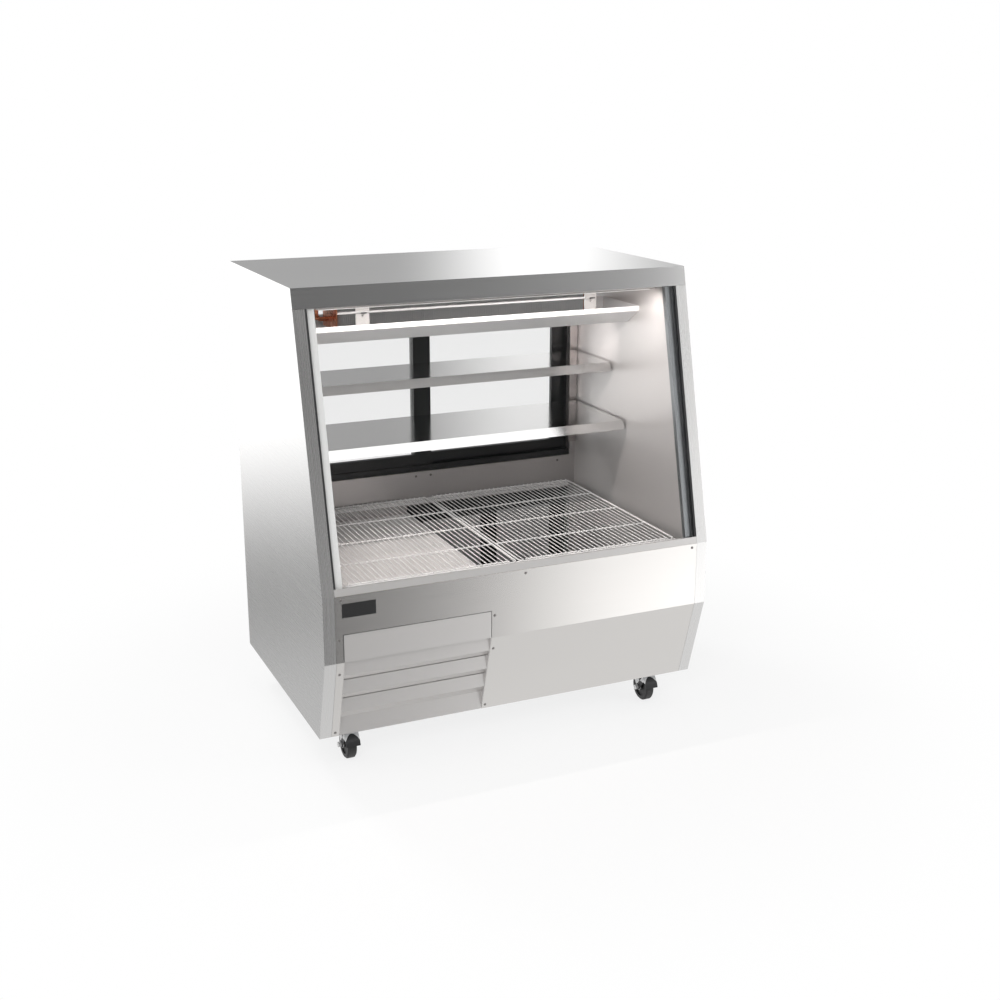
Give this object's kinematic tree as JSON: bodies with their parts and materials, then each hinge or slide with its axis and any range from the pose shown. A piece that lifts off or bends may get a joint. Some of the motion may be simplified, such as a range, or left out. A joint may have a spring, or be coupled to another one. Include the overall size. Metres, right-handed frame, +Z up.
{
  "type": "refrigerated deli display case",
  "caption": "Refrigerated deli display case with slanted front glass, shelves, wire racks, rear sliding doors, louvred machine bay and swivel casters.",
  "frame": {"origin": "on the floor, at the middle of the case's footprint", "axes": "+X to the right of the case as seen from its glass front, +Y towards its rear doors, +Z up"},
  "size_m": [1.219, 0.856, 1.38],
  "materials": {
    "stainless": "fine brushed stainless sheet",
    "galvanised": "galvanised sheet",
    "foam": "rigid insulation foam",
    "white_liner": "smooth light liner sheet",
    "clear_glass": "clear tempered glass",
    "black_plastic": "black moulded plastic and rubber",
    "dark_frame": "satin black extrusion",
    "grey_plastic": "grey plastic",
    "aluminium_fin": "thin aluminium fins",
    "copper": "bright copper",
    "lamp_diffuser": "white lamp lens",
    "shelf_steel": "brushed sheet shelf",
    "white_wire": "white coated wire",
    "zinc_steel": "zinc plated steel",
    "caster_tyre": "black hard rubber"
  },
  "bodies": {
    "case": {"left_end_panel": "stainless", "right_end_panel": "stainless", "top_cap": "stainless", "front_panel": "stainless", "louvre_grille": "stainless", "front_sill": "stainless", "coil_hangers": "stainless", "rear_frame": "stainless", "service_panel": "stainless", "glass_posts": "stainless", "base_pan": "galvanised", "fan_shroud": "galvanised", "foam_insulation": "foam", "liner_panels": "white_liner", "tank_liner": "white_liner", "front_liner": "white_liner", "drip_pan": "white_liner", "light_housing": "white_liner", "front_glass": "clear_glass", "glass_gaskets": "black_plastic", "door_tracks": "black_plastic", "cord_gland": "black_plastic", "compressor": "black_plastic", "fan_motor": "black_plastic", "drain_tube": "grey_plastic", "condenser": "aluminium_fin", "evaporator_fins": "aluminium_fin", "refrigerant_lines": "copper", "evaporator_end_plates": "copper", "evaporator_return_bends": "copper", "light_tube": "lamp_diffuser", "upper_shelf": "shelf_steel", "lower_shelf": "shelf_steel", "shelf_brackets": "shelf_steel", "pilasters": "shelf_steel", "left_wire_rack": "white_wire", "right_wire_rack": "white_wire", "rack_rails": "white_wire", "caster_plates": "zinc_steel"},
    "left_door": {"left_door_frame": "dark_frame", "left_door_glass": "clear_glass"},
    "right_door": {"right_door_frame": "dark_frame", "right_door_glass": "clear_glass"},
    "left_storage_door": {"left_storage_door_frame": "grey_plastic", "left_storage_door_panel": "grey_plastic"},
    "right_storage_door": {"right_storage_door_frame": "grey_plastic", "right_storage_door_panel": "grey_plastic"},
    "condenser_fan": {"fan_blade": "aluminium_fin"},
    "light_rocker": {"light_switch": "black_plastic"},
    "thermostat_dial": {"thermostat_knob": "black_plastic"},
    "front_left_swivel": {"front_left_fork": "zinc_steel"},
    "front_left_roller": {"front_left_wheel": "caster_tyre"},
    "front_right_swivel": {"front_right_fork": "zinc_steel"},
    "front_right_roller": {"front_right_wheel": "caster_tyre"},
    "rear_left_swivel": {"rear_left_fork": "zinc_steel"},
    "rear_left_roller": {"rear_left_wheel": "caster_tyre"},
    "rear_right_swivel": {"rear_right_fork": "zinc_steel"},
    "rear_right_roller": {"rear_right_wheel": "caster_tyre"},
    "front_left_brake": {"front_left_brake_pedal": "black_plastic"},
    "front_right_brake": {"front_right_brake_pedal": "black_plastic"}
  },
  "joints": [
    {"name": "left_door_slide", "type": "slide", "parent": "case", "child": "left_door", "axis": [1, 0, 0], "range_m": [0, 0.516]},
    {"name": "right_door_slide", "type": "slide", "parent": "case", "child": "right_door", "axis": [-1, 0, 0], "range_m": [0, 0.516]},
    {"name": "left_storage_door_slide", "type": "slide", "parent": "case", "child": "left_storage_door", "axis": [1, 0, 0], "range_m": [0, 0.275]},
    {"name": "right_storage_door_slide", "type": "slide", "parent": "case", "child": "right_storage_door", "axis": [-1, 0, 0], "range_m": [0, 0.275]},
    {"name": "front_left_caster_swivel", "type": "hinge", "parent": "case", "child": "front_left_swivel", "pos_m": [-0.499, -0.237, 0.10505], "axis": [0, 0, 1], "continuous": true},
    {"name": "front_left_wheel_roll", "type": "hinge", "parent": "front_left_swivel", "child": "front_left_roller", "pos_m": [-0.499, -0.267, 0.0445], "axis": [1, 0, 0], "continuous": true},
    {"name": "front_left_brake_press", "type": "hinge", "parent": "front_left_swivel", "child": "front_left_brake", "pos_m": [-0.499, -0.267, 0.0445], "axis": [1, 0, 0], "range_deg": [0, 12]},
    {"name": "front_right_caster_swivel", "type": "hinge", "parent": "case", "child": "front_right_swivel", "pos_m": [0.499, -0.237, 0.10505], "axis": [0, 0, 1], "continuous": true},
    {"name": "front_right_wheel_roll", "type": "hinge", "parent": "front_right_swivel", "child": "front_right_roller", "pos_m": [0.499, -0.267, 0.0445], "axis": [1, 0, 0], "continuous": true},
    {"name": "front_right_brake_press", "type": "hinge", "parent": "front_right_swivel", "child": "front_right_brake", "pos_m": [0.499, -0.267, 0.0445], "axis": [1, 0, 0], "range_deg": [0, 12]},
    {"name": "rear_left_caster_swivel", "type": "hinge", "parent": "case", "child": "rear_left_swivel", "pos_m": [-0.499, 0.33, 0.10505], "axis": [0, 0, 1], "continuous": true},
    {"name": "rear_left_wheel_roll", "type": "hinge", "parent": "rear_left_swivel", "child": "rear_left_roller", "pos_m": [-0.499, 0.3, 0.0445], "axis": [1, 0, 0], "continuous": true},
    {"name": "rear_right_caster_swivel", "type": "hinge", "parent": "case", "child": "rear_right_swivel", "pos_m": [0.499, 0.33, 0.10505], "axis": [0, 0, 1], "continuous": true},
    {"name": "rear_right_wheel_roll", "type": "hinge", "parent": "rear_right_swivel", "child": "rear_right_roller", "pos_m": [0.499, 0.3, 0.0445], "axis": [1, 0, 0], "continuous": true},
    {"name": "condenser_fan_spin", "type": "hinge", "parent": "case", "child": "condenser_fan", "pos_m": [-0.33, -0.219, 0.2434], "axis": [0, 1, 0], "continuous": true},
    {"name": "light_switch_rock", "type": "hinge", "parent": "case", "child": "light_rocker", "pos_m": [-0.26, 0.3954, 0.416], "axis": [1, 0, 0], "range_deg": [0, 16]},
    {"name": "thermostat_turn", "type": "hinge", "parent": "case", "child": "thermostat_dial", "pos_m": [-0.19, 0.396, 0.416], "axis": [0, 1, 0], "range_deg": [0, 300]}
  ]
}
